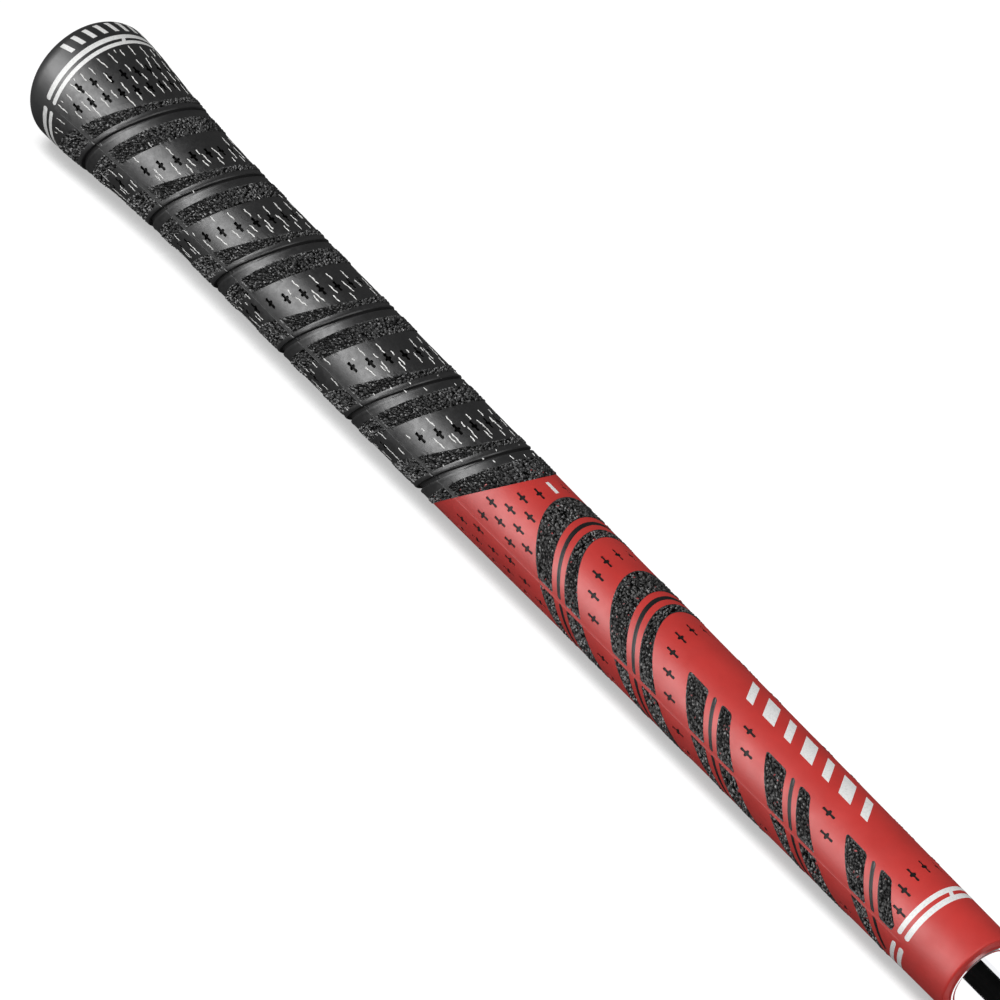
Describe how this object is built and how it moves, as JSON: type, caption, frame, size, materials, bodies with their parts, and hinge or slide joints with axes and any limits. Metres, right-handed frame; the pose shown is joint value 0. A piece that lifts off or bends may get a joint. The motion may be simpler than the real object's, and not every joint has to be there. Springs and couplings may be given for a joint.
{
  "type": "golf grip",
  "caption": "Tapered rubber golf grip on a steel shaft butt: black corded upper half, red lower half with black textured inlays, white rings.",
  "frame": {"origin": "centre of the butt cap's end face, at the mouth of the vent hole", "axes": "+X along the grip from the butt cap to the mouth and the shaft, +Z out of the front centre line (alignment mark), the mould's parting line in the plane z = 0"},
  "size_m": [0.303, 0.0278, 0.0278],
  "materials": {
    "black_rubber": "matt",
    "corded_rubber": "matt, textured",
    "red_rubber": "satin",
    "inlay_rubber": "matt, pebbled",
    "black_fill": "matt",
    "white_paint": "matt paint fill",
    "cotton_cord": "fibrous",
    "tape": "matt paper",
    "chrome_steel": "polished"
  },
  "bodies": {
    "root": {"alignment_mark": "white_paint", "butt_cap": "black_rubber", "cap_motif_paint": "white_paint", "cap_ring_paint_back": "white_paint", "cap_ring_paint_front": "white_paint", "cord_strands_back": "cotton_cord", "cord_strands_front": "cotton_cord", "cross_marks_back": "black_fill", "cross_marks_front": "black_fill", "front_motif_paint": "white_paint", "grip_tape": "tape", "lower_panel_back": "red_rubber", "lower_panel_front": "red_rubber", "mouth_ring_paint_back": "white_paint", "mouth_ring_paint_front": "white_paint", "narrow_inlays_back": "inlay_rubber", "narrow_inlays_front": "inlay_rubber", "rib_inlays_back": "inlay_rubber", "rib_inlays_front": "inlay_rubber", "shaft_butt": "chrome_steel", "upper_panel_back": "corded_rubber", "upper_panel_front": "corded_rubber", "wide_inlays_back": "inlay_rubber", "wide_inlays_front": "inlay_rubber"}
  },
  "joints": []
}
